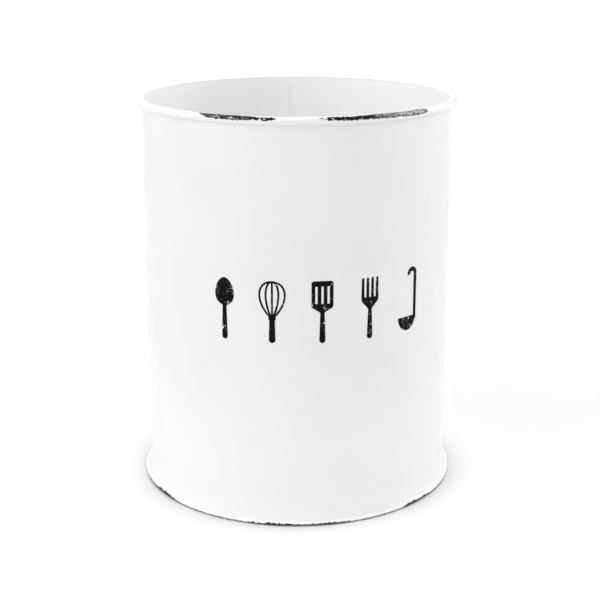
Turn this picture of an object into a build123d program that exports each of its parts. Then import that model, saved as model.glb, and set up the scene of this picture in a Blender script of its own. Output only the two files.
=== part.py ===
from build123d import *
import math
import os

# Utensil caddy: an open can of enamelled sheet steel, in millimetres and degrees.
# The origin is the centre of the foot on the floor, +Z is up and the front faces -Y.

# The can as a whole
overall_height = 165.0
wall_diameter = 129.5
sheet = 0.5

# The wired rim: the top edge of the wall rolled outwards round a wire
wire_diameter = 1.8
wire_clearance = 0.2
curl_edge_gap = 0.15
wire_end_gap = 0.4

# The foot: the wall flares out, and the edge of the base is clinched round it
flare_radius = 30.0
flare_angle = 20.0
flare_tail = 0.6
hem_height = 3.0
hem_clearance = 0.1
hem_edge_gap = 0.1
hem_fold_inside = 0.1

# The base panel, held clear of the floor by the hem
panel_underside = 5.0
panel_corner_inside = 1.2

# The lock seam at the back: two hooks closed over each other
seam_slit_angle = 93.0
seam_width = 6.6
seam_clearance = 0.06
seam_tip_gap = 0.25
seam_end_gap = 1.2
seam_notch = 0.3
butt_gap = 0.2

# Cuts run past the sheet by this much
overrun = 1.0


def strip(start, heading, moves):
    # A bent strip of sheet seen on edge. A move is (radius, turn) for a bend, with left turns
    # positive, or (length, None) for a straight run. The moves are those of the sheet's middle,
    # and its two faces lie half a sheet to either side.
    edges = []
    corners = []
    for side in (1, -1):
        shift = side * half_sheet
        aim = math.radians(heading)
        spot = Vector(start) + Vector(-math.sin(aim), math.cos(aim)) * shift
        corners.append(spot)
        for size, turn in moves:
            if turn is None:
                after = spot + Vector(math.cos(aim), math.sin(aim)) * size
                edges.append(Line(spot, after))
            else:
                left = math.copysign(1, turn)
                bend = size - left * shift
                centre = spot + Vector(-math.sin(aim), math.cos(aim)) * (left * bend)
                edges.append(CenterArc(centre, bend, math.degrees(aim) - left * 90, turn))
                aim += math.radians(turn)
                after = centre + Vector(math.sin(aim), -math.cos(aim)) * (left * bend)
            spot = after
        corners.append(spot)
    edges.append(Line(corners[0], corners[2]))
    edges.append(Line(corners[1], corners[3]))
    return make_face(edges)


def turned(profile, sweep):
    # Turns a profile drawn as radius and height about the upright axis
    return revolve(Plane.XZ * profile, Axis.Z, sweep)


def on_circle(radius, angle):
    return Vector(radius * math.cos(math.radians(angle)), radius * math.sin(math.radians(angle)))


def upright(outline, low, high):
    return Pos(0, 0, low) * extrude(outline, high - low)


def wedge(first, last, low, high):
    # A thin slice of cake between two angles and two heights, reaching past the rim
    reach = (rim_radius + overrun) / math.cos(math.radians(last - first) / 2)
    outline = Polyline(Vector(0, 0), on_circle(reach, first), on_circle(reach, last), close=True)
    return upright(make_face(outline), low, high)


half_sheet = sheet / 2
wall_radius = wall_diameter / 2 - half_sheet

# The wall's profile, from its flared lower edge up and round the curl
lean_sin = math.sin(math.radians(flare_angle))
lean_cos = math.cos(math.radians(flare_angle))
edge_height = sheet + hem_edge_gap + half_sheet * lean_sin
flare_end_height = edge_height + flare_tail * lean_cos
flare_end_radius = wall_radius + flare_radius * (1 - lean_cos)
flare_top = flare_end_height + flare_radius * lean_sin
edge_radius = flare_end_radius + flare_tail * lean_sin
curl_radius = wire_diameter / 2 + wire_clearance + half_sheet
curl_height = overall_height - curl_radius - half_sheet
rim_radius = wall_radius + 2 * curl_radius + half_sheet
curl_open = math.acos((curl_radius - half_sheet - curl_edge_gap) / (curl_radius + half_sheet))
wall_profile = strip(
    (edge_radius, edge_height),
    90 + flare_angle,
    [
        (flare_tail, None),
        (flare_radius, -flare_angle),
        (curl_height - flare_top, None),
        (curl_radius, math.degrees(curl_open) - 360),
    ],
)

# The seam's layers lie one pitch apart, counted outwards from the wall itself
pitch = sheet + seam_clearance
layers = [wall_radius + count * pitch for count in range(4)]
seam_low = flare_top + seam_end_gap
seam_high = curl_height - curl_radius - half_sheet - seam_end_gap
seam_sweep = math.degrees(seam_width / wall_radius)
tip_sweep = math.degrees(seam_tip_gap / wall_radius)
butt_sweep = math.degrees(butt_gap / wall_radius)
step_sweep = math.degrees(2 * math.asin(3 * pitch / 2 / layers[1]))
step_angle = seam_slit_angle - step_sweep
fold_angle = seam_slit_angle + seam_sweep
butt_angle = fold_angle + butt_sweep

# One end of the sheet runs on to the slit, and folds back outwards there
inner_hook = strip(
    on_circle(wall_radius, butt_angle),
    butt_angle - 90,
    [
        (wall_radius, -seam_sweep - butt_sweep),
        (pitch, 180),
        (layers[2], seam_sweep - tip_sweep),
    ],
)

# The other end steps out round that fold, runs over it and folds back under it
outer_hook = strip(
    on_circle(wall_radius, step_angle),
    step_angle + 90,
    [
        (pitch, step_sweep / 2 - 90),
        (2 * pitch, step_sweep / 2 + 90),
        (layers[3], seam_sweep),
        (pitch, 180),
        (layers[1], tip_sweep - seam_sweep),
    ],
)

# The sheet is rolled until its ends butt. Between the curl and the flare, where its corners are
# notched, the ends run on into the two hooks.
body_wall = Rot(0, 0, butt_angle) * turned(wall_profile, 360 - butt_sweep)
body_wall -= wedge(step_angle, fold_angle + butt_sweep / 2, seam_low - seam_notch, seam_high + seam_notch)
body_wall += upright(inner_hook, seam_low, seam_high)
body_wall += upright(outer_hook, seam_low, seam_high)

# The wire is a ring whose ends meet where the sheet's ends butt
wire_radius = wall_radius + curl_radius
wire_section = Pos(wire_radius, curl_height) * Circle(wire_diameter / 2)
wire_sweep = 360 - math.degrees(wire_end_gap / wire_radius)
rim_wire = Rot(0, 0, butt_angle) * turned(wire_section, wire_sweep)

# The base's profile, from the clinched lip down, under the wall's edge, up inside and to the centre
gap_pitch = sheet + hem_clearance
fold_radius = hem_fold_inside + half_sheet
corner_radius = panel_corner_inside + half_sheet
lip_angle = math.asin((flare_top - hem_height) / (flare_radius - gap_pitch))
lip_spot = (
    wall_radius + flare_radius - (flare_radius - gap_pitch) * math.cos(lip_angle),
    hem_height,
)
outer_run = (flare_end_height + gap_pitch * lean_sin - half_sheet) / lean_cos
inner_run = (flare_end_height - gap_pitch * lean_sin - half_sheet) / lean_cos
outer_fold = fold_radius * math.tan(math.radians(90 + flare_angle) / 2)
inner_fold = fold_radius * math.tan(math.radians(90 - flare_angle) / 2)
flat_run = 2 * gap_pitch / lean_cos - outer_fold - inner_fold
panel_middle = panel_underside + half_sheet
corner_reach = flare_radius + gap_pitch + corner_radius
corner_angle = math.asin((flare_top + corner_radius - panel_middle) / corner_reach)
panel_radius = wall_radius + flare_radius - corner_reach * math.cos(corner_angle)
base_profile = strip(
    lip_spot,
    math.degrees(lip_angle) - 90,
    [
        (flare_radius - gap_pitch, flare_angle - math.degrees(lip_angle)),
        (outer_run - outer_fold, None),
        (fold_radius, -90 - flare_angle),
        (flat_run, None),
        (fold_radius, flare_angle - 90),
        (inner_run - inner_fold, None),
        (flare_radius + gap_pitch, math.degrees(corner_angle) - flare_angle),
        (corner_radius, 90 - math.degrees(corner_angle)),
        (panel_radius, None),
    ],
)
base_pan = turned(base_profile, 360)

os.makedirs("parts", exist_ok=True)
for name, solid in (("body_wall", body_wall), ("rim_wire", rim_wire), ("base_pan", base_pan)):
    export_step(solid, os.path.join("parts", name + ".step"))
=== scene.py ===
import math
import bpy
import numpy as np
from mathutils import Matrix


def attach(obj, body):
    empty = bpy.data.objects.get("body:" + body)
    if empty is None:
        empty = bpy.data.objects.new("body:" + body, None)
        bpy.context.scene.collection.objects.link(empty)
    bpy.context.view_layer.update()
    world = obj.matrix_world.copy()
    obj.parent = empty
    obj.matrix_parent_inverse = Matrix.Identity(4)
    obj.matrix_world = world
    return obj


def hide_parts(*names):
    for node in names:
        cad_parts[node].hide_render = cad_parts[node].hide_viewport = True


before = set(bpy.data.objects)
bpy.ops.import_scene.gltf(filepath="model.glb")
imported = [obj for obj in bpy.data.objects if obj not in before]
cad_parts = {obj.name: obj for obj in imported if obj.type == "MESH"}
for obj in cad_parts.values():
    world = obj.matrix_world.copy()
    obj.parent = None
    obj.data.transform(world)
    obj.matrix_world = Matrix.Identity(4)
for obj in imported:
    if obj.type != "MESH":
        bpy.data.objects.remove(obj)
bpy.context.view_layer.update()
mm = 0.001
print("frame loaded:", ", ".join(sorted(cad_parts)))

# the can as the solids have it, in millimetres and degrees
# angles run from +X towards +Y, so the front is at -90 and the back at 90
can = {
    "height": 165.0,
    "wallRadius": 64.5,  # middle of the sheet
    "halfSheet": 0.25,
    "curlRadius": 1.35,  # middle of the sheet round the wire
    "curlSkin": 1.575,  # outside of the sheet round the wire
    "curlSwell": 0.27,  # how far the enamel bulges inwards at the mouth
    "curlShoulder": 0.9,  # height of that bulge above its widest line
    "curlFillet": 0.45,  # enamel in the crease under the curl
    "flareRadius": 30.0,
    "flareAngle": 20.0,
    "flareTop": 11.51,  # where the straight wall starts
    "flareTail": 0.6,
    "front": -90.0,
}
can["outside"] = can["wallRadius"] + can["halfSheet"]
can["inside"] = can["wallRadius"] - can["halfSheet"]
can["curlCentre"] = (
    can["wallRadius"] + can["curlRadius"],
    can["height"] - can["curlRadius"] - can["halfSheet"],
)
can["flareCentre"] = (can["wallRadius"] + can["flareRadius"], can["flareTop"])


def smooth(low, high, value):
    # rises from 0 at low to 1 at high, with a soft start and a soft end
    share = np.clip((value - low) / (high - low), 0.0, 1.0)
    return share * share * (3.0 - 2.0 * share)


def bell(centre, width, value):
    # 1 at the centre, gone about two widths away
    return np.exp(-(((value - centre) / width) ** 2))


def arcRun(centre, radius, first, last, count, tall=None):
    # points of an arc in (radius, height), from one angle to another; tall makes it an ellipse's arc
    turn = np.radians(np.linspace(first, last, count))
    rise = radius if tall is None else tall
    return np.stack([centre[0] + radius * np.cos(turn), centre[1] + rise * np.sin(turn)], axis=1)


def uprightRun(radius, heights):
    # points of an upright line at the given heights
    return np.stack([np.full(len(heights), radius), np.asarray(heights, dtype=float)], axis=1)


def levelRun(radii, height):
    # points of a level line at the given radii
    return np.stack([np.asarray(radii, dtype=float), np.full(len(radii), height)], axis=1)


def joinRuns(runs):
    # one line of points; where a run starts on the last point of the run before, it is kept once
    kept = [runs[0]]
    for last, run in zip(runs, runs[1:]):
        kept.append(run[1:] if np.hypot(*(run[0] - last[-1])) < 1e-6 else run)
    return np.concatenate(kept)


def outwardOf(line, closed):
    # the direction square to a line of points, to its right, from the points before and after each
    if closed:
        step = np.roll(line, -1, axis=0) - np.roll(line, 1, axis=0)
    else:
        step = np.gradient(line, axis=0)
    step = step / np.maximum(np.hypot(step[:, 0], step[:, 1])[:, None], 1e-9)
    return np.stack([step[:, 1], -step[:, 0]], axis=1)


def lathePoints(radius, height, angles):
    # radius and height on a grid of rows and columns, turned to the columns' angles, in metres
    turn = np.radians(angles)[None, :]
    return np.stack([radius * np.cos(turn), radius * np.sin(turn), height * np.ones_like(turn)], axis=2) * mm


def gridFaces(rows, columns, closedRows):
    # four-cornered faces of a grid whose columns close on themselves
    row = np.arange(rows if closedRows else rows - 1)[:, None]
    column = np.arange(columns)[None, :]
    after, beside = (row + 1) % rows, (column + 1) % columns
    corners = [(row, column), (row, beside), (after, beside), (after, column)]
    return np.stack([r * columns + c for r, c in corners], axis=2).reshape(-1, 4)


def makePiece(name, points, faces, ends, material):
    # a mesh from points, four-cornered faces and the rings that close its ends
    mesh = bpy.data.meshes.new(name)
    mesh.from_pydata(points.reshape(-1, 3).tolist(), [], faces.tolist() + [ring.tolist() for ring in ends])
    mesh.polygons.foreach_set("use_smooth", np.ones(len(mesh.polygons), dtype=bool))
    mesh.update()
    mesh.materials.append(material)
    piece = bpy.data.objects.new(name, mesh)
    bpy.context.scene.collection.objects.link(piece)
    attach(piece, "root")
    return piece


def addField(piece, name, values):
    # a number at each vertex, for the material to read
    field = piece.data.attributes.new(name, "FLOAT", "POINT")
    field.data.foreach_set("value", np.ascontiguousarray(values, dtype=np.float32).ravel())


def addSheetMap(piece, name, angles, along):
    # unrolls a turned piece: the angle goes across, the length along its profile goes up
    across = np.append((angles - angles[0]) / 360.0, 1.0)
    left, right = across[None, :-1], across[None, 1:]
    low, high = along[:-1, None], along[1:, None]
    corners = [(left, low), (right, low), (right, high), (left, high)]
    flat = np.stack([np.stack(np.broadcast_arrays(*corner), axis=2) for corner in corners], axis=2)
    chart = piece.data.uv_layers.new(name=name)
    chart.data.foreach_set("uv", flat.astype(np.float32).ravel())


class Flow:
    # wraps a socket, so that sums of sockets and numbers can be written as expressions
    def __init__(self, tree, socket):
        self.tree = tree
        self.socket = socket

    def node(self, kind, settings=None, inputs=None, out=0):
        made = self.tree.nodes.new(kind)
        for key, value in (settings or {}).items():
            setattr(made, key, value)
        for key, value in (inputs or {}).items():
            if isinstance(value, Flow):
                self.tree.links.new(value.socket, made.inputs[key])
            else:
                made.inputs[key].default_value = value
        return Flow(self.tree, made.outputs[out] if made.outputs else None)

    def maths(self, operation, first, second):
        return self.node("ShaderNodeMath", {"operation": operation}, {0: first, 1: second})

    def __add__(self, other):
        return self.maths("ADD", self, other)

    def __radd__(self, other):
        return self.maths("ADD", other, self)

    def __sub__(self, other):
        return self.maths("SUBTRACT", self, other)

    def __rsub__(self, other):
        return self.maths("SUBTRACT", other, self)

    def __mul__(self, other):
        return self.maths("MULTIPLY", self, other)

    def __rmul__(self, other):
        return self.maths("MULTIPLY", other, self)

    def ramp(self, low, high):
        # rises softly from 0 at low to 1 at high
        return self.node(
            "ShaderNodeMapRange",
            {"interpolation_type": "SMOOTHSTEP", "clamp": True},
            {"Value": self, "From Min": low, "From Max": high, "To Min": 0.0, "To Max": 1.0},
        )

    def noise(self, scale, detail=2.0, rough=0.5):
        # even noise between 0 and 1 at this many features to the metre, read at this place
        return self.node(
            "ShaderNodeTexNoise",
            {"noise_dimensions": "3D"},
            {"Vector": self, "Scale": scale, "Detail": detail, "Roughness": rough},
        )

    def between(self, first, second):
        # a colour between two colours, by this share
        return self.node("ShaderNodeMix", {"data_type": "RGBA"}, {0: self, 6: first, 7: second}, 2)

    def stretched(self, scale):
        return self.node("ShaderNodeVectorMath", {"operation": "MULTIPLY"}, {0: self, 1: scale})

    def bump(self, strength):
        # the surface's normal, moved by this height in millimetres
        return self.node("ShaderNodeBump", None, {"Strength": strength, "Distance": mm, "Height": self}, "Normal")


def newMaterial(name):
    # an empty material, with its tree's first flow at the object's own coordinates
    material = bpy.data.materials.new(name)
    material.use_nodes = True
    tree = material.node_tree
    tree.nodes.clear()
    place = Flow(tree, None).node("ShaderNodeTexCoord", out="Object")
    return material, place


def makeShader(place, sockets, fixed):
    # links what varies over the surface and sets what is the same all over it
    return place.node("ShaderNodeBsdfPrincipled", None, {**fixed, **sockets}, "BSDF")


def finishMaterial(place, shader):
    place.node("ShaderNodeOutputMaterial", None, {"Surface": shader})


def colour(red, green, blue):
    return (red, green, blue, 1.0)


enamel = {
    "white": colour(0.775, 0.775, 0.767),
    "shaded": colour(0.763, 0.762, 0.753),  # where the coat is a little thinner
    "paintedLightWhite": colour(0.95, 0.95, 0.948),  # painted highlight on the curl's top and on the bead, and painted light low on the outside wall
    "paintedLightInside": colour(0.972, 0.973, 0.962),  # painted light: the inside of the can is painted whiter against the shade in it
    "pinhole": colour(0.45, 0.43, 0.41),
    "grime": colour(0.42, 0.40, 0.37),  # settled in creases
    "rust": colour(0.008, 0.007, 0.007),  # dark outline of a chip
    "steel": colour(0.62, 0.605, 0.60),
    "steelDark": colour(0.012, 0.011, 0.011),
    "mottleNoise": (38.0, 3.0),  # each noise has its features to the metre, detail and roughness
    "mottleRange": (0.35, 0.7),
    "peelNoise": (430.0, 2.0),
    "grainNoise": (900.0, 2.0),
    "speckNoise": (1250.0, 1.0),
    "fleckNoise": (1500.0, 1.0),
    "fineNoise": (2600.0, 2.0, 0.6),
    "pinholeNoise": (1350.0, 0.0),
    "pinholeRange": (0.84, 0.87),
    "wallPinholes": 0.1,  # how strongly pinholes show
    "basePinholes": 0.3,
    "ior": 1.5,
    "coatRough": 0.16,
    "mottleRough": 0.03,  # what mottle, peel and grime add to that
    "peelRough": 0.04,
    "grimeRough": 0.2,
    "grimeLeast": 0.35,  # grime is this strong, and stronger with the grain
    "grimeGrain": 0.4,
    "coatSpecular": 0.42,
    "peelDepth": 0.012,  # orange peel, in mm
    "peelStrength": 0.55,
    "bareRough": 0.6,
    "fineRough": 0.3,
    "bareSpecular": 0.05,
    "pitDepth": 0.05,  # pits in bare steel, in mm
    "pitStrength": 0.6,
    "ragGrain": 0.9,  # how far the two noises move a chip's edge, in mm
    "ragSpeck": 1.3,
    "edge": (-0.02, 0.04),  # from coat to bare, in mm from the edge
    "heart": (0.22, 0.45),  # from the dark outline to the middle of a chip, in mm from the edge
    "rubContrast": 2.2,
    "rubMetal": 0.3,
}


def makeEnamel(name, look, pinholes):
    # gloss enamel on steel: mottled white, worn through to dark steel where the wear field is above 0
    # the wear field is the distance in millimetres to a chip's edge, and noise makes that edge ragged
    # the shine field says how far a chip is rubbed bright (0 and less is dark all over), the crease field
    # is where grime settles, and a further field paints light onto the white: a painted highlight on the
    # curl's top and on the bead, and painted light low on the outside wall; within is 1 inside the can,
    # where the white is painted lighter against the shade in there
    material, place = newMaterial(name)
    wear, shine, crease, paintedLight, within = [
        place.node("ShaderNodeAttribute", {"attribute_name": field}, out="Fac")
        for field in ("wear", "shine", "crease", "paintedLight", "within")
    ]
    mottle = place.noise(*look["mottleNoise"]).ramp(*look["mottleRange"])
    peel = place.noise(*look["peelNoise"])
    grain = place.noise(*look["grainNoise"])
    speck = place.noise(*look["speckNoise"])
    fleck = place.noise(*look["fleckNoise"])
    fine = place.noise(*look["fineNoise"])
    ragged = wear + (grain - 0.5) * look["ragGrain"] + (speck - 0.5) * look["ragSpeck"]
    bare = ragged.ramp(*look["edge"])
    heart = ragged.ramp(*look["heart"])
    pinhole = place.noise(*look["pinholeNoise"]).ramp(*look["pinholeRange"]) * pinholes
    white = mottle.between(look["white"], look["shaded"])
    # painted light inside the can, against its shade
    white = within.between(white, look["paintedLightInside"])
    # painted highlight on the curl's top and the bead, and painted light low on the outside wall
    white = paintedLight.between(white, look["paintedLightWhite"])
    white = pinhole.between(white, look["pinhole"])
    white = (crease * (look["grimeLeast"] + look["grimeGrain"] * grain)).between(white, look["grime"])
    rubbed = ((fleck - 0.5) * look["rubContrast"] + shine).ramp(0.0, 1.0) * heart
    metal = rubbed.between(look["steelDark"], look["steel"])
    metal = heart.between(look["rust"], metal)
    rough = look["coatRough"] + mottle * look["mottleRough"] + (peel - 0.5) * look["peelRough"]
    coat = makeShader(
        place,
        {
            "Base Color": white,
            "Roughness": rough + crease * look["grimeRough"],
            "Normal": (peel * look["peelDepth"]).bump(look["peelStrength"]),
        },
        {"IOR": look["ior"], "Specular IOR Level": look["coatSpecular"]},
    )
    steel = makeShader(
        place,
        {
            "Base Color": metal,
            "Roughness": look["bareRough"] + (fine - 0.5) * look["fineRough"],
            "Metallic": rubbed * look["rubMetal"],
            "Normal": (fleck * look["pitDepth"] + fine * look["pitDepth"]).bump(look["pitStrength"]),
        },
        {"IOR": look["ior"], "Specular IOR Level": look["bareSpecular"]},
    )
    finishMaterial(place, place.node("ShaderNodeMixShader", None, {0: bare, 1: coat, 2: steel}))
    return material


wallEnamel = makeEnamel("wallEnamel", enamel, enamel["wallPinholes"])
baseEnamel = makeEnamel("baseEnamel", enamel, enamel["basePinholes"])
print("enamel mixed")

# the lock seam; what goes round the wall is in mm from the slit
seam = {
    "slit": 93.0,  # angle of the slit, seen inside
    "pitch": 0.56,  # one sheet and its clearance
    "low": 12.71,
    "high": 160.60,
    "endSlope": (0.2, 0.25),  # how far its ends slope, outwards and inwards
    "rise": (-1.8, -0.1),  # where the ridge outside rises
    "drop": (6.9, 7.55),  # and where it ends again
    "crack": 7.65,  # the crease beside it
    "crackWidth": 0.16,
    "crackDepth": 0.12,
    "crackGrime": 0.8,
    "groove": -0.45,  # what the slit leaves inside
    "grooveWidth": 0.34,
    "grooveDepth": 0.16,
    "grooveGrime": 0.22,
    "grimeWidth": 0.2,
    "pressedIn": (0.0, 0.8),  # the wall inside is pressed up a little between these two places
    "pressedOut": (5.8, 7.2),
    "pressedHeight": 0.14,
    "butt": 6.70,  # where the curl's ends meet
    "buttWidth": 0.16,
    "buttDepth": 0.26,
    "buttGrime": 0.12,
    "stepEnd": (0.6, 5.0),  # one end lies lower, and comes up again over this length
    "stepDepth": 0.10,
}

# the wall's grid and the fields on it
wall = {
    "unworn": -1.2,  # the wear field where there is no chip
    "chipDepth": 0.07,
    "chipSlope": (-0.1, 0.3),
    "seamAngles": (-6.0, 9.5, 110),  # from, to and count of the close columns at the seam
    "columns": 570,  # over the rest
    "endRows": (-0.6, -0.35, -0.2, -0.1, 0.0, 0.1, 0.2, 0.35, 0.7),  # close rows at each end of the seam
    "middleRows": 12,
    "middleGap": 2.5,  # from the seam's ends to the first and last of these
    "mouthRows": (0.0, 0.06, 0.2, 0.5, 1.0, 1.8),  # below the bulge at the mouth
    "faceLimit": 0.7,  # a face counts as wall where its normal points in or out by more than this
    "waves": ((0.10, 2, 0.6), (0.06, 3, 2.1), (0.03, 5, 0.9)),  # (mm, times round, phase)
    "wavesStart": (14.0, 60.0),
    "wavesEnd": (110.0, 158.0),
    # painted light: the outside wall is painted lighter towards the foot, fading out between these heights
    "paintedLightFoot": 0.25,
    "paintedLightFootTop": (25.0, 75.0),
    # painted highlight along the curl's top: how strong
    "paintedHighlightRim": 0.9,
    "paintedHighlightPlace": (100.0, 32.0),  # the angle on the curl of that painted highlight, and how wide
    "curlRoom": 3.0,  # the curl gets more room on the sheet map
}

# chips in the enamel of the rim: (angle from the front, place on the curl, half width in mm, fill, shine)
# the place on the curl is an angle: 0 is outermost, 90 is the top and 180 is innermost
# a chip with little fill is broken up into specks
rimChips = [
    [
        (-34.4, 80, -0.4, 1, 0.0), (-33.6, 78, 0.3, 1, 0.0), (-31.5, 66, 0.85, 1, 0.0), (-24.0, 62, 0.85, 1, 0.0),
        (-17.5, 58, 0.9, 1, -0.2), (-14.6, 54, 0.7, 0.6, -0.3), (-12.8, 50, 0.3, 0.3, -0.3),
        (-11.8, 50, -0.5, 0.3, -0.3),
    ],
    [
        (-32.8, 60, -0.4, 1, 0.1), (-31.0, 46, 0.95, 1, 0.2), (-24.0, 42, 1.08, 1, 0.26), (-19.0, 40, 1.02, 1, 0.2),
        (-15.5, 38, 0.88, 0.8, 0.05), (-14.0, 34, 0.5, 0.4, 0.0), (-13.0, 34, -0.5, 0.4, 0.0),
    ],
    [
        (-15.5, 40, -0.3, 0.3, -0.1), (-14.0, 40, 0.7, 0.3, -0.1), (-11.5, 38, 0.7, 0.14, -0.1),
        (-9.4, 36, 0.7, 0.1, -0.2), (-8.8, 38, 0.6, 0.2, -0.3), (-7.0, 40, 0.5, 0.2, -0.3),
        (-6.2, 42, -0.5, 0.1, -0.3),
    ],
    [
        (6.6, 42, -0.5, 0.1, -0.4), (7.8, 42, 0.4, 0.14, -0.4), (10.5, 38, 0.75, 0.16, -0.4),
        (13.1, 36, 0.75, 0.14, -0.4), (15.5, 36, 0.85, 0.3, -0.4), (20.5, 38, 0.95, 0.32, -0.3),
        (24.0, 46, 1.1, 0.5, -0.1), (27.0, 46, 1.2, 1.2, 0.3), (35.8, 44, 1.25, 1.3, 0.5), (42.5, 42, 1.3, 1.3, 0.55),
        (47.0, 44, 1.15, 1.2, 0.6), (48.6, 46, 0.75, 1, 0.5), (49.4, 46, -0.5, 1, 0.4),
    ],
    [(80.0, 24, -0.5, 0.4, 0.0), (83.0, 14, 0.5, 0.4, 0.2), (86.5, 6, 0.55, 0.4, 0.2), (89.0, 0, -0.5, 0.4, 0.2)],
    [(-98.0, 50, -0.5, 0.3, 0.0), (-96.0, 50, 0.2, 0.3, 0.0), (-93.0, 50, -0.5, 0.3, 0.0)],
    [
        (138.0, 50, -0.5, 0.1, 0.2), (141.0, 46, 0.45, 0.2, 0.2), (147.0, 44, 0.8, 1, 0.4),
        (152.0, 44, 0.4, 0.2, 0.0), (154.0, 44, -0.5, 0.1, 0.0),
    ],
    [
        (205.0, 50, -0.5, 0.2, 0.0), (207.0, 46, 0.45, 0.3, 0.1), (211.0, 46, 0.35, 0.2, 0.0),
        (213.0, 46, -0.5, 0.2, 0.0),
    ],
]


def chipField(chips, angle, place, scale):
    # the largest of the chips' own fields: half width less the distance from the chip's middle line, and
    # no more than the chip's fill; the second field is the shine of the chip that is nearest
    unworn = wall["unworn"]
    field = np.full(np.broadcast_shapes(angle.shape, place.shape), unworn)
    shine = np.zeros(field.shape)
    turn = (angle - can["front"] + 180.0) % 360.0 - 180.0
    for chip in chips:
        stops, lines, halves, fills, shines = np.array(chip, dtype=float).T
        middle = stops.mean()
        near = (turn - middle + 180.0) % 360.0 - 180.0 + middle
        half = np.interp(near, stops, halves, left=unworn, right=unworn)
        away = np.abs(place - np.interp(near, stops, lines)) * scale
        own = np.minimum(half - away, np.interp(near, stops, fills))
        shine = np.where(own > field, np.interp(near, stops, shines), shine)
        field = np.maximum(field, own)
    return field, shine


def roundness(angle, height):
    # the rolled sheet is never quite round: three slow waves that die out at the rim and the foot
    turn = np.radians(angle)
    waves = sum(size * np.cos(times * turn + phase) for size, times, phase in wall["waves"])
    return waves * smooth(*wall["wavesStart"], height) * (1.0 - smooth(*wall["wavesEnd"], height))


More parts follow.
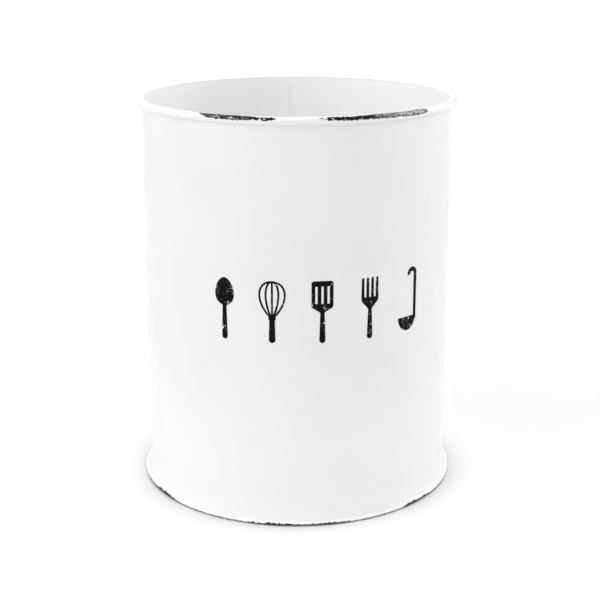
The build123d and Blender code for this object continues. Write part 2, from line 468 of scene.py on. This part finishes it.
def makeWall():
    # the wall is one closed profile turned about the axis and pushed in or out along its normal:
    # up the outside from the flared edge, round the curl, and down the inside to the edge again
    half, fillet, skin = can["halfSheet"], can["curlFillet"], can["curlSkin"]
    outside, inside, shoulder = can["outside"], can["inside"], can["curlShoulder"]
    curlX, curlZ = can["curlCentre"]
    # the fillet touches the wall and the curl, so its middle lies a fillet from both
    beside = curlX - outside - fillet
    below = math.sqrt((skin + fillet) ** 2 - beside**2)
    filletMiddle = (outside + fillet, curlZ - below)
    touch = math.degrees(math.atan2(below, beside))
    # the bulge at the mouth is an ellipse's arc from the curl's top to the wall inside
    swellWide = curlX - inside + can["curlSwell"]
    swellCentre = (curlX, curlZ + skin - shoulder)
    swellEnd = 180.0 + math.degrees(math.acos((curlX - inside) / swellWide))
    swellLow = swellCentre[1] + shoulder * math.sin(math.radians(swellEnd))
    # the flare, with its straight tail
    lean, slope = 180.0 + can["flareAngle"], math.radians(can["flareAngle"])
    tail = np.array([math.sin(slope), -math.cos(slope)]) * can["flareTail"]
    outerFoot = arcRun(can["flareCentre"], can["flareRadius"] - half, lean, 180.0, count=10)
    innerFoot = arcRun(can["flareCentre"], can["flareRadius"] + half, 180.0, lean, count=8)
    # the straight wall's rows lie close together at the seam's two ends
    close, gap = np.array(wall["endRows"]), wall["middleGap"]
    lowSteps, highSteps = seam["low"] + close, seam["high"] - close[::-1]
    middle = np.linspace(seam["low"] + gap, seam["high"] - gap, wall["middleRows"])
    climb = np.concatenate([[can["flareTop"]], lowSteps, middle, highSteps, [filletMiddle[1]]])
    mouth = swellLow - np.array(wall["mouthRows"])
    fall = np.concatenate([mouth, highSteps[::-1], middle[::-1], lowSteps[::-1], [can["flareTop"]]])
    line = joinRuns([
        outerFoot[:1] + tail,
        outerFoot,
        uprightRun(outside, climb),
        arcRun(filletMiddle, fillet, 180.0, touch, count=7),
        arcRun(can["curlCentre"], skin, touch - 180.0, 90.0, count=34),
        arcRun(swellCentre, swellWide, 90.0, swellEnd, count=18, tall=shoulder),
        uprightRun(inside, fall),
        innerFoot,
        innerFoot[-1:] + tail,
    ])
    normal = outwardOf(line, True)
    first, last, closeCount = wall["seamAngles"]
    atSeam = np.linspace(seam["slit"] + first, seam["slit"] + last, closeCount)
    angles = np.append(atSeam[:-1], np.linspace(atSeam[-1], atSeam[0] + 360.0, wall["columns"])[:-1])

    radius, height = line[:, :1], line[:, 1:]
    across, angle = normal[:, :1], angles[None, :]
    inner = (across < -wall["faceLimit"]) & (radius < can["wallRadius"])
    outer = (across > wall["faceLimit"]) & (radius < outside + 0.01)
    onCurl = (height > filletMiddle[1]) & ((radius > outside + 0.3 * fillet) | (height > swellLow))
    curlPlace = np.degrees(np.arctan2(height - curlZ, radius - curlX))
    curlPlace = np.where(curlPlace < -150.0, curlPlace + 360.0, curlPlace)

    # the seam: a ridge with a crack beside it outside, a groove inside and a butt in the curl
    fromSlit = np.radians(angle - seam["slit"]) * can["wallRadius"]
    outwards, inwards = seam["endSlope"]
    span = smooth(seam["low"] - outwards, seam["low"] + inwards, height)
    span = span * (1 - smooth(seam["high"] - inwards, seam["high"] + outwards, height))
    ridge = smooth(*seam["rise"], fromSlit) * (1 - smooth(*seam["drop"], fromSlit))
    crack = bell(seam["crack"], seam["crackWidth"], fromSlit)
    groove = bell(seam["groove"], seam["grooveWidth"], fromSlit)
    pressed = smooth(*seam["pressedIn"], fromSlit) * (1 - smooth(*seam["pressedOut"], fromSlit))
    fromButt = fromSlit - seam["butt"]
    butt = bell(0.0, seam["buttWidth"], fromButt)
    step = smooth(-0.1, 0.1, fromButt) * (1 - smooth(*seam["stepEnd"], fromButt))
    wear, shine = chipField(rimChips, angle, curlPlace, math.radians(skin))
    wear = np.where(onCurl, wear, wall["unworn"])

    push = outer * span * (3 * seam["pitch"] * ridge - seam["crackDepth"] * crack)
    push = push - inner * span * (seam["grooveDepth"] * groove - seam["pressedHeight"] * pressed)
    push = push - onCurl * (seam["buttDepth"] * butt + seam["stepDepth"] * step)
    push = push + (outer * 1.0 - inner * 1.0) * roundness(angle, height)
    push = push - wall["chipDepth"] * smooth(*wall["chipSlope"], wear)

    crease = seam["crackGrime"] * outer * span * crack
    crease = crease + seam["grooveGrime"] * inner * span * bell(seam["groove"], seam["grimeWidth"], fromSlit)
    crease = crease + onCurl * bell(0.0, seam["buttGrime"], fromButt)
    # painted light: the outside wall is painted lighter towards the foot
    paintedLight = wall["paintedLightFoot"] * (across > 0.5) * (1 - smooth(*wall["paintedLightFootTop"], height))
    # a painted highlight along the curl's top
    paintedLight = paintedLight + wall["paintedHighlightRim"] * onCurl * bell(*wall["paintedHighlightPlace"], curlPlace)
    # 1 inside the can, where the white is painted lighter against the shade
    within = smooth(0.3, 0.9, -across) * (radius < can["wallRadius"])

    points = lathePoints(radius + push * across, height + push * normal[:, 1:], angles)
    faces = gridFaces(len(line), len(angles), True)
    piece = makePiece("wallSkin", points, faces, [], wallEnamel)
    addField(piece, "wear", wear)
    addField(piece, "shine", shine)
    addField(piece, "crease", np.clip(crease, 0, 1))
    addField(piece, "paintedLight", paintedLight + 0 * angle)
    addField(piece, "within", within + 0 * angle)
    steps = np.hypot(*(np.roll(line, -1, axis=0) - line).T)
    steps = steps * np.where(onCurl[:, 0], wall["curlRoom"], 1.0)
    addSheetMap(piece, "OFBake", angles, np.append(0.0, np.cumsum(steps)) / steps.sum())
    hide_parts("body_wall")
    return piece


wallSkin = makeWall()
print("wall turned:", len(wallSkin.data.polygons), "faces")

base = {
    "gapPitch": 0.6,  # one sheet and its clearance
    "fold": 0.35,  # middle of the sheet in the hem's two folds
    "corner": 1.45,
    "panelMiddle": 5.25,
    "panelRadii": (6.0, 14.0, 30.0, 45.0, 56.0, 61.0),  # the first is the cap's
    "columns": 640,
    "beadRadius": 67.42,  # the enamelled hem is a round bead: its widest line
    "beadWide": 0.95,  # height of that line
    "beadTread": 1.1,  # from that line in to where the bead meets the floor
    "beadTop": 1.95,  # where it runs out into the wall
    "beadSunk": 0.08,
    "beadCount": 18,  # rows from the floor to that line, and again above it
    "beadReach": 0.9,  # wear reaches this far in from the hem's outer fold
    "beadUneven": 0.018,  # the bead is never quite even
    "beadWaves": ((1.0, 7, 0.4), (0.7, 12, 1.7)),  # (share, times round, phase)
    "lipTurn": 0.2,  # how far the lip reaches up inside, in degrees of the flare
    "chipDepth": 0.05,
    "grimeRadius": 63.6,  # round the panel's corner
    "grimeWidth": 1.0,
    "grimeTop": 0.9,
    "grime": 0.35,
    # painted light over the whole base, and a painted highlight on the bead
    "paintedLight": 0.3,
    "paintedHighlightBead": 0.35,
}

# chips along the hem: (angle from the front, height in mm, half width in mm, fill, shine)
# the first goes all round, where the foot rubs on what it stands on
footChips = [
    [
        (-180.0, 0.1, 0.3, 0.16, -0.2), (-48.0, 0.14, 0.4, 0.2, -0.2), (48.0, 0.14, 0.4, 0.2, -0.2),
        (180.0, 0.1, 0.3, 0.16, -0.2),
    ],
    [
        (-78.0, 0.4, -0.5, 0.3, -0.3), (-75.0, 0.4, 0.45, 0.3, -0.3), (-67.0, 0.45, 0.55, 0.4, -0.3),
        (-61.0, 0.5, 0.8, 0.7, -0.3), (-53.0, 0.5, 0.85, 0.8, -0.3), (-50.0, 0.45, 0.7, 0.6, -0.3),
        (-46.0, 0.3, 0.3, 0.2, -0.2), (-38.0, 0.3, -0.5, 0.1, -0.2),
    ],
    [
        (-20.0, 0.3, -0.5, 0.1, -0.3), (-16.0, 0.4, 0.55, 0.15, -0.3), (-6.0, 0.45, 0.65, 0.22, -0.2),
        (6.0, 0.45, 0.6, 0.18, -0.3), (14.0, 0.45, 0.65, 0.2, -0.3), (19.0, 0.35, 0.5, 0.1, -0.3),
        (23.0, 0.3, -0.5, 0.1, -0.3),
    ],
    [
        (39.0, 0.3, -0.5, 0.2, -0.2), (41.5, 0.45, 0.7, 0.5, -0.3), (45.0, 0.5, 0.8, 0.7, -0.3),
        (51.0, 0.5, 0.75, 0.6, -0.3), (57.0, 0.4, 0.5, 0.35, -0.3), (69.0, 0.35, 0.4, 0.25, -0.2),
        (75.0, 0.3, -0.5, 0.2, -0.2),
    ],
    [
        (118.0, 0.3, -0.5, 0.2, 0.0), (122.0, 0.4, 0.45, 0.2, 0.0), (135.0, 0.4, 0.5, 0.4, 0.1),
        (141.0, 0.3, -0.5, 0.2, 0.0),
    ],
    [
        (214.0, 0.3, -0.5, 0.2, 0.0), (218.0, 0.4, 0.45, 0.4, 0.0), (228.0, 0.3, 0.4, 0.2, 0.0),
        (233.0, 0.3, -0.5, 0.2, 0.0),
    ],
]


def makeBase():
    # the base is one profile turned about the axis, with a ring of points at each end closed by a cap:
    # out along the panel's underside, down, under the hem, up its lip, and back along the upper faces
    half, pitch, fold = can["halfSheet"], base["gapPitch"], base["fold"]
    centre, flare = np.array(can["flareCentre"]), can["flareRadius"]
    lean, slope = 180.0 + can["flareAngle"], math.radians(can["flareAngle"])
    sinLean, cosLean = math.sin(slope), math.cos(slope)
    cornerReach = flare + pitch + base["corner"]
    cornerTurn = math.asin((can["flareTop"] + base["corner"] - base["panelMiddle"]) / cornerReach)
    corner = centre - cornerReach * np.array([math.cos(cornerTurn), math.sin(cornerTurn)])
    cornerAngle = math.degrees(cornerTurn)

    def footSpot(away):
        # the middle of a hem fold, where the run that lies this far from the flare's own line turns flat
        square = np.array([cosLean, sinLean])
        onLine = centre - (flare + away + (fold if away < 0 else -fold)) * square
        drop = (onLine[1] - (half + fold)) / cosLean
        return onLine + drop * np.array([sinLean, -cosLean])

    outerFold, innerFold = footSpot(-pitch), footSpot(pitch)
    under, over = base["panelMiddle"] - half, base["panelMiddle"] + half
    # the bead's outer face stands out from the wall's own face, and runs out softly upwards
    beadRows = np.linspace(base["beadWide"], base["beadTop"], base["beadCount"])
    wallFace = centre[0] - np.sqrt((flare - half) ** 2 - (centre[1] - beadRows) ** 2)
    proud = base["beadRadius"] - wallFace[0] + base["beadSunk"]
    bead = wallFace - base["beadSunk"] + proud * (1.0 - smooth(base["beadWide"], base["beadTop"], beadRows))
    lipInside = arcRun(centre, flare - pitch + half, lean - base["lipTurn"], lean, count=3)
    lipEnd = np.array([[bead[-1] - base["beadSunk"], lipInside[0, 1]]])  # the lip's end, sunk in the wall
    tread = (base["beadRadius"] - base["beadTread"], base["beadWide"])
    line = joinRuns([
        levelRun(base["panelRadii"], under),
        arcRun(corner, base["corner"] - half, 90.0, cornerAngle, count=8),
        arcRun(centre, flare + pitch + half, 180.0 + cornerAngle, lean, count=8),
        arcRun(innerFold, fold + half, lean, 270.0, count=6),
        arcRun(tread, base["beadTread"], 270.0, 360.0, count=base["beadCount"], tall=base["beadWide"]),
        np.stack([bead, beadRows], axis=1),
        lipEnd,
        lipInside,
        arcRun(outerFold, fold - half, 360.0 + can["flareAngle"], 270.0, count=5),
        arcRun(innerFold, fold - half, 270.0, lean, count=5),
        arcRun(centre, flare + pitch - half, lean, 180.0 + cornerAngle, count=8),
        arcRun(corner, base["corner"] + half, cornerAngle, 90.0, count=10),
        levelRun(base["panelRadii"][::-1], over),
    ])
    normal = outwardOf(line, False)
    count = base["columns"]
    angles = np.linspace(0.0, 360.0, count + 1)[:-1]

    radius, height = line[:, :1], line[:, 1:]
    across, angle = normal[:, :1], angles[None, :]
    outer = (radius > outerFold[0] - base["beadReach"]) & (across > -0.3) & (height < base["beadTop"] + 0.3)
    onBead = smooth(0.1, 0.5, across) * outer
    turn = np.radians(angle)
    waves = sum(size * (np.cos(times * turn + phase) - 1.0) for size, times, phase in base["beadWaves"])
    waves = base["beadUneven"] * waves
    fade = 1 - smooth(base["beadWide"], base["beadTop"], height)  # the waves die out towards the wall
    wear, shine = chipField(footChips, angle, height, 1.0)
    wear = np.where(outer, wear, wall["unworn"])
    push = waves * onBead * fade - base["chipDepth"] * smooth(*wall["chipSlope"], wear)
    crease = base["grime"] * bell(base["grimeRadius"], base["grimeWidth"], radius)
    crease = crease * (height > over - 0.05) * (height < over + base["grimeTop"])
    # the panel's top inside the can, where the white is painted lighter against the shade
    within = (height > under + 0.3) * (normal[:, 1:] > 0.2)

    points = lathePoints(radius + push * across, np.maximum(height + push * normal[:, 1:], 0.0), angles)
    faces = gridFaces(len(line), count, False)
    rings = [np.arange(count)[::-1], np.arange(count) + (len(line) - 1) * count]
    piece = makePiece("baseSkin", points, faces, rings, baseEnamel)
    addField(piece, "wear", wear)
    addField(piece, "shine", shine)
    addField(piece, "crease", np.clip(crease, 0, 1) + 0 * angle)
    # painted light over the base, and a painted highlight on the bead
    addField(piece, "paintedLight", base["paintedLight"] + base["paintedHighlightBead"] * onBead + 0 * angle)
    addField(piece, "within", within + 0.0 * angle)
    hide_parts("base_pan")
    return piece


baseSkin = makeBase()
print("base turned:", len(baseSkin.data.polygons), "faces")

wire = {
    "steel": colour(0.40, 0.40, 0.41),
    "scale": colour(0.16, 0.15, 0.15),
    "patchNoise": (260.0, 4.0, 0.6),
    "patchRange": (0.42, 0.66),
    "patchRough": 0.25,
    "patchDull": 0.6,
    "lineNoise": (1400.0, 2.0),
    "lineStretch": (1.0, 1.0, 9.0),
    "lineRough": 0.1,
    "lineDepth": 0.03,  # mm
    "lineStrength": 0.3,
    "ior": 1.5,
    "rough": 0.38,
}


def makeWire(look):
    # drawn steel wire with dark patches of scale
    material, place = newMaterial("wireSteel")
    patches = place.noise(*look["patchNoise"]).ramp(*look["patchRange"])
    lines = place.stretched(look["lineStretch"]).noise(*look["lineNoise"])
    sockets = {
        "Base Color": patches.between(look["steel"], look["scale"]),
        "Roughness": look["rough"] + patches * look["patchRough"] + lines * look["lineRough"],
        "Metallic": 1.0 - patches * look["patchDull"],
        "Normal": (lines * look["lineDepth"]).bump(look["lineStrength"]),
    }
    finishMaterial(place, makeShader(place, sockets, {"IOR": look["ior"]}))
    return material


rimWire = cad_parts["rim_wire"]
rimWire.data.materials.clear()
rimWire.data.materials.append(makeWire(wire))
print("wire coated")

ink = {
    "black": colour(0.005, 0.005, 0.006),
    "worn": colour(0.86, 0.86, 0.855),
    "coarseNoise": (330.0, 2.0),
    "fineNoise": (1500.0, 3.0, 0.7),
    "patchy": 0.55,  # how much the coarse noise gathers the specks
    "rubRange": (0.655, 0.70),
    "rubGloss": 0.2,
    "rubDepth": 0.02,  # mm
    "bumpStrength": 0.4,
    "ior": 1.5,
    "specular": 0.04,
    "rough": 0.42,
    "thickness": 0.045,  # mm
    "sunk": 0.02,
    "angle": 8.8,  # to the right of the front
    "height": 88.8,
    "spread": 19.6,  # from one tool to the next
    "low": -12.5,  # the tools' ends, from the row's middle
    "high": 12.5,
    "least": 0.05,  # half width that is left at a tool's tip
}


def makeInk(look):
    # black ink, rubbed through to the white under it in small specks
    material, place = newMaterial("printInk")
    coarse = place.noise(*look["coarseNoise"])
    fine = place.noise(*look["fineNoise"])
    rubbed = (fine + (coarse - 0.5) * look["patchy"]).ramp(*look["rubRange"])
    sockets = {
        "Base Color": rubbed.between(look["black"], look["worn"]),
        "Roughness": look["rough"] - rubbed * look["rubGloss"],
        "Normal": (fine * look["rubDepth"] - rubbed * look["rubDepth"]).bump(look["bumpStrength"]),
    }
    fixed = {"IOR": look["ior"], "Specular IOR Level": look["specular"]}
    finishMaterial(place, makeShader(place, sockets, fixed))
    return material


def stroke(along, up, halfWidth):
    # a flat stroke laid on the wall: its middle line is given in mm along the wall and up it, and it
    # reaches halfWidth to both sides; its cross-section is a thin closed loop, upper face then lower
    along, up, halfWidth = np.broadcast_arrays(*[np.asarray(v, dtype=float) for v in (along, up, halfWidth)])
    ahead = np.stack([np.gradient(along), np.gradient(up)], axis=1)
    ahead = ahead / np.maximum(np.hypot(ahead[:, 0], ahead[:, 1])[:, None], 1e-9)
    across = np.concatenate([np.linspace(-1, 1, 6), np.linspace(1, -1, 6)])[None, :]
    lift = np.repeat([ink["thickness"], -ink["sunk"]], 6)[None, :]
    x = along[:, None] + ahead[:, 1:] * halfWidth[:, None] * across
    height = ink["height"] + up[:, None] - ahead[:, :1] * halfWidth[:, None] * across
    angle = can["front"] + ink["angle"] + np.degrees(x / can["outside"])
    radius = can["outside"] + roundness(angle, height) + lift
    turn = np.radians(angle)
    return np.stack([radius * np.cos(turn), radius * np.sin(turn), height], axis=2) * mm


def roundEnd(share):
    # how much of the full width is left at this share of a rounded end, from its inner side
    return np.sqrt(np.clip(1 - np.clip(share, 0, 1) ** 2, 0.004, 1))


def eased(count):
    # shares from 0 to 1, close together at both ends
    return 0.5 - 0.5 * np.cos(np.linspace(0.0, np.pi, count))


def rounded(length, radius, count):
    # shares along a stroke, close together at both ends, and how much of the full width is left there
    share = eased(count)
    away = np.minimum(share, 1 - share) * length
    return share, roundEnd(1 - away / radius)


def bar(x, low, high, lowWidth, highWidth, radius):
    # an upright bar with rounded ends; its half width goes evenly from lowWidth to highWidth
    share, left = rounded(high - low, radius, count=28)
    width = (lowWidth + (highWidth - lowWidth) * share) * left
    return stroke(x + 0 * share, low + (high - low) * share, width)


def shoulder(x, low, tall, width, gain, full):
    # an upright stroke that widens softly: its half width gains this much until this share of its height
    share = np.linspace(0, 1, 30)
    return stroke(x + 0 * share, low + tall * share, width + gain * smooth(0.0, full, share))


# the five tools, in mm from the row's middle; the values of a bar and of a shoulder stand in the order
# in which those two functions take them
spoon = {
    "handle": 1.25,  # half width at the low end
    "taper": 0.028,  # what that loses with each mm upwards
    "neck": 0.7,  # the least that it comes to
    "end": 1.2,  # radius of the rounded end
    "fade": (4.0, 9.0),  # where the handle runs out in the bowl
    "bowlMiddle": 6.9,
    "bowlTall": 5.62,  # half height
    "bowlWide": 4.1,  # half width
    "egg": 0.03,  # share of the width that is lost with each mm upwards
}


def spoonStrokes(x):
    # a handle that narrows to the neck, and an egg-shaped bowl on top
    up = ink["low"] + (ink["high"] - ink["low"]) * eased(90)
    handle = np.maximum(spoon["handle"] - spoon["taper"] * (up - ink["low"]), spoon["neck"])
    handle = handle * roundEnd((ink["low"] + spoon["end"] - up) / spoon["end"]) * (1 - smooth(*spoon["fade"], up))
    fromMiddle = up - spoon["bowlMiddle"]
    bowl = spoon["bowlWide"] * np.sqrt(np.clip(1 - (fromMiddle / spoon["bowlTall"]) ** 2, 0, 1))
    bowl = bowl * (1 - spoon["egg"] * fromMiddle)
    return [stroke(x + 0 * up, up, np.maximum((handle**3 + bowl**3) ** (1 / 3), ink["least"]))]


whisk = {
    "handle": (ink["low"], -2.6, 1.35, 1.1, 1.2),
    "collar": (-3.4, -1.7, 1.5, 1.5, 0.5),
    "reaches": (-5.0, -2.5, 0.0, 2.5, 5.0),  # how far each wire swells out
    "wire": 0.40,  # half width
    "wireLow": -2.4,
    "wireTall": 14.5,
    "swell": (0.8, 0.45),  # powers of the wires' rise and fall
    "crowd": 2.2,  # the points lie closer together towards the top
}


def whiskStrokes(x):
    # a handle with a collar, and five wires that swell out and meet again at the top
    share = 1 - (1 - np.linspace(0.0, 1.0, 70)) ** whisk["crowd"]
    rise, fall = whisk["swell"]
    swell = share**rise * np.clip(1 - share, 0, 1) ** fall
    swell = swell / swell.max()
    up = whisk["wireLow"] + whisk["wireTall"] * share
    wires = [stroke(x + reach * swell, up, whisk["wire"]) for reach in whisk["reaches"]]
    return [bar(x, *whisk["handle"]), bar(x, *whisk["collar"])] + wires


turner = {
    "handle": (ink["low"], 0.2, 1.25, 0.85, 1.2),
    "shoulder": (-0.6, 4.0, 0.8, 3.5, 0.75),
    "slat": (3.0, 10.8, 0.74, 0.74, 0.3),
    "slatPlaces": (-3.56, -1.19, 1.19, 3.56),
    "topLow": 10.3,
    "topTall": 2.2,
    "topWide": 4.3,  # half width
    "topRadius": 0.9,
    "topRound": 0.28,  # share of the width that the round corners take
}


def turnerStrokes(x):
    # a handle, a shoulder and a slotted blade
    share, left = rounded(turner["topTall"], turner["topRadius"], count=30)
    corners = turner["topRound"] * np.where(share > 0.5, left, 1.0)
    width = turner["topWide"] * (1 - turner["topRound"] + corners)
    top = stroke(x + 0 * share, turner["topLow"] + turner["topTall"] * share, width)
    slats = [bar(x + place, *turner["slat"]) for place in turner["slatPlaces"]]
    return [bar(x, *turner["handle"]), shoulder(x, *turner["shoulder"]), top] + slats


fork = {
    "handle": (ink["low"], 0.0, 1.25, 0.80, 1.2),
    "shoulder": (-0.9, 5.4, 0.78, 3.0, 0.85),
    "tine": (3.9, ink["high"], 0.66, 0.52, 0.9),
    "tinePlaces": (-3.12, -1.04, 1.04, 3.12),
}


def forkStrokes(x):
    # a handle, a shoulder and four tines
    tines = [bar(x + place, *fork["tine"]) for place in fork["tinePlaces"]]
    return [bar(x, *fork["handle"]), shoulder(x, *fork["shoulder"])] + tines


ladle = {
    "bowlPlace": -0.9,
    "bowlTop": -6.8,
    "bowlDeep": 5.75,
    "bowlWide": 4.9,  # half width
    "handlePlace": 3.5,
    "handleLow": -8.4,
    "handleTall": 19.1,
    "hookRadius": 1.8,
    "hookTurn": 200.0,
    "width": (0.80, 0.92),  # half width of the handle at its low end and at the hook's tip
    "tip": 6,  # points in the hook's rounded tip
}


def ladleStrokes(x):
    # a half-round bowl seen from the side, and a handle that ends in a hook
    up = ink["low"] + (ladle["bowlTop"] - ink["low"]) * (1 - np.cos(np.linspace(0, np.pi / 2, 40)))
    width = ladle["bowlWide"] * np.sqrt(np.clip(1 - ((up - ladle["bowlTop"]) / ladle["bowlDeep"]) ** 2, 0, 1))
    bowl = stroke(x + ladle["bowlPlace"] + 0 * up, up, np.maximum(width, ink["least"]))
    run = np.linspace(0, 1, 40)
    bend = np.radians(np.linspace(0, ladle["hookTurn"], 40))[1:]
    hook, top = ladle["hookRadius"], ladle["handleLow"] + ladle["handleTall"]
    along = np.concatenate([ladle["handlePlace"] + 0 * run, ladle["handlePlace"] - hook + hook * np.cos(bend)])
    up = np.concatenate([ladle["handleLow"] + ladle["handleTall"] * run, top + hook * np.sin(bend)])
    width = np.linspace(*ladle["width"], len(up))
    width[-ladle["tip"] :] *= np.sqrt(np.clip(1 - np.linspace(0, 1, ladle["tip"]) ** 2, 0.01, 1))
    return [bowl, stroke(x + along, up, width)]


def makePrint():
    # the strokes of all the tools in one mesh, each a closed shape of its own
    makers = [spoonStrokes, whiskStrokes, turnerStrokes, forkStrokes, ladleStrokes]
    loops = [loop for k, maker in enumerate(makers) for loop in maker((k - 2) * ink["spread"])]
    points, faces, ends, count = [], [], [], 0
    for loop in loops:
        rows, columns = loop.shape[:2]
        points.append(loop.reshape(-1, 3))
        faces.append(gridFaces(rows, columns, False) + count)
        ends += [np.arange(columns)[::-1] + count, np.arange(columns) + (rows - 1) * columns + count]
        count += rows * columns
    points, faces = np.concatenate(points), np.concatenate(faces)
    return makePiece("printRow", points, faces, ends, makeInk(ink))


printRow = makePrint()
print("print laid:", len(printRow.data.polygons), "faces")

stage = {
    "size": 9.0,
    "pale": colour(0.775, 0.775, 0.775),
    "paler": colour(0.785, 0.785, 0.785),
    "tintNoise": (3.0, 1.0),
    "rough": 0.6,
    "specular": 0.2,
}


def makeFloor():
    # a plain pale floor
    reach = stage["size"]
    corners = [(-reach, -reach, 0.0), (reach, -reach, 0.0), (reach, reach, 0.0), (-reach, reach, 0.0)]
    mesh = bpy.data.meshes.new("floor")
    mesh.from_pydata(corners, [], [[0, 1, 2, 3]])
    material, place = newMaterial("floorPale")
    tint = place.noise(*stage["tintNoise"]).between(stage["pale"], stage["paler"])
    fixed = {"Roughness": stage["rough"], "Specular IOR Level": stage["specular"]}
    finishMaterial(place, makeShader(place, {"Base Color": tint}, fixed))
    mesh.materials.append(material)
    floor = bpy.data.objects.new("floor", mesh)
    bpy.context.scene.collection.objects.link(floor)


makeFloor()

light = {
    "band": 1.0,  # all round at the height of the horizon, so that the floor has no visible end
    "bandTop": 0.07,  # sine of the angle above the horizon where it is gone
    "bandFull": 0.042,  # and up to where it is full
    "panels": [  # (where it stands seen from the can, cosine at its soft edge, cosine where it is full, strength)
        ((0.0, 0.0, 1.0), 0.9954, 0.99905, 84.0),  # straight above
        ((-0.6, -0.35, 0.7), 0.8, 0.97, 0.86),  # above the left
        ((0.6, -0.35, 0.7), 0.8, 0.97, 0.80),  # above the right
        ((0.0, 0.7, 0.7), 0.75, 0.97, 0.371),  # above the back
        ((0.0, -1.0, 0.22), 0.75, 0.97, 1.08),  # front
        ((-0.7, -0.7, 0.25), 0.7, 0.97, 0.80),  # front left
        ((-1.0, -0.05, 0.25), 0.6, 0.95, 0.80),  # left
        ((0.97, 0.3, 0.2), 0.8, 0.97, 3.05),  # right
        ((-0.75, 0.75, 0.4), 0.5, 0.95, 0.33),  # back left
        ((0.0, 1.0, 0.4), 0.5, 0.95, 0.52),  # back
    ],
}


def makeLight():
    # a dark tent with a pale band at the horizon and soft bright panels round the can
    world = bpy.data.worlds.new("tent")
    bpy.context.scene.world = world
    world.use_nodes = True
    tree = world.node_tree
    tree.nodes.clear()
    start = Flow(tree, None)
    way = start.node("ShaderNodeTexCoord", out="Generated")
    level = start.node("ShaderNodeSeparateXYZ", None, {0: way}, "Z")
    strength = (1.0 - level.ramp(light["bandFull"], light["bandTop"])) * light["band"]
    for towards, soft, full, power in light["panels"]:
        unit = np.array(towards) / np.linalg.norm(towards)
        facing = start.node("ShaderNodeVectorMath", {"operation": "DOT_PRODUCT"}, {0: way, 1: unit.tolist()}, "Value")
        strength = strength + facing.ramp(soft, full) * power
    shader = start.node("ShaderNodeBackground", None, {"Color": colour(1, 1, 1), "Strength": strength})
    start.node("ShaderNodeOutputWorld", None, {"Surface": shader})


makeLight()

camera = {
    "focal": 1294.0,  # in pixels of a 600 pixel frame
    "frame": 600.0,
    "sensor": 36.0,
    "place": (0.0, -0.5415, 0.2376),
    "pitch": 14.55,  # down from level
    "yaw": 0.146,  # to the right
    "shift": -0.0833,
    "clip": (0.01, 60.0),
}


def makeCamera():
    eye = bpy.data.cameras.new("camera")
    eye.sensor_fit = "AUTO"
    eye.sensor_width = camera["sensor"]
    eye.lens = camera["focal"] / camera["frame"] * camera["sensor"]
    eye.shift_y = camera["shift"]
    eye.clip_start, eye.clip_end = camera["clip"]
    holder = bpy.data.objects.new("camera", eye)
    bpy.context.scene.collection.objects.link(holder)
    holder.location = camera["place"]
    holder.rotation_euler = (math.radians(90 - camera["pitch"]), 0.0, math.radians(-camera["yaw"]))
    bpy.context.scene.camera = holder


makeCamera()
view = bpy.context.scene.view_settings
view.view_transform = "Standard"
view.look = "None"
print("camera, floor and light set")
